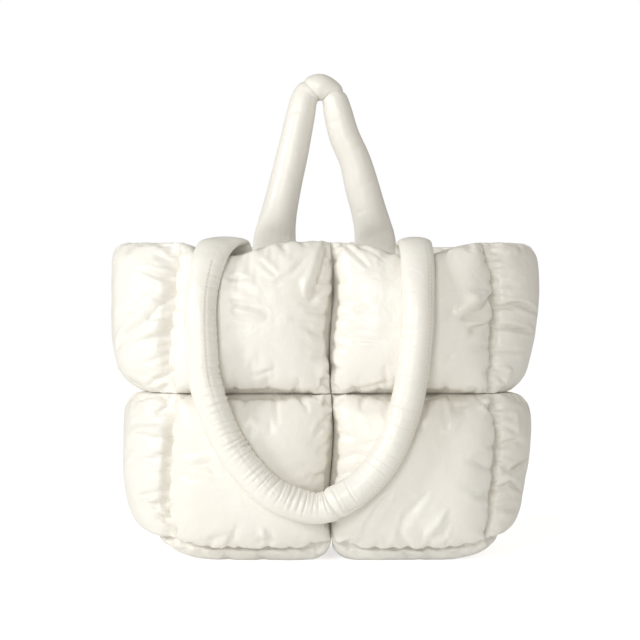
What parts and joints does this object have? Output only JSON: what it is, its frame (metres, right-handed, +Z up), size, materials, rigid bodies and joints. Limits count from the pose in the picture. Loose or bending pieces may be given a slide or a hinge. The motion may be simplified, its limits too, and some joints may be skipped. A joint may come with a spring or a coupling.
{
  "type": "puffer tote bag",
  "caption": "Soft open-top tote bag of stuffed square panels, with a padded tube strap hanging in front and another standing up behind; it stands on its flat base.",
  "frame": {"origin": "on the floor, under the middle of the whole bag with its straps", "axes": "+Z up, +X to the right as seen from the front, the front with the hanging strap faces -Y"},
  "size_m": [0.4888, 0.2548, 0.5538],
  "materials": {
    "shell": "satin",
    "straps": "satin"
  },
  "bodies": {
    "root": {"front_upper_left": "shell", "front_upper_right": "shell", "front_lower_left": "shell", "front_lower_right": "shell", "back_upper_left": "shell", "back_upper_right": "shell", "back_lower_left": "shell", "back_lower_right": "shell", "left_side_upper": "shell", "left_side_lower": "shell", "right_side_upper": "shell", "right_side_lower": "shell", "bottom_left": "shell", "bottom_right": "shell", "front_strap": "straps", "rear_strap": "straps"}
  },
  "joints": []
}
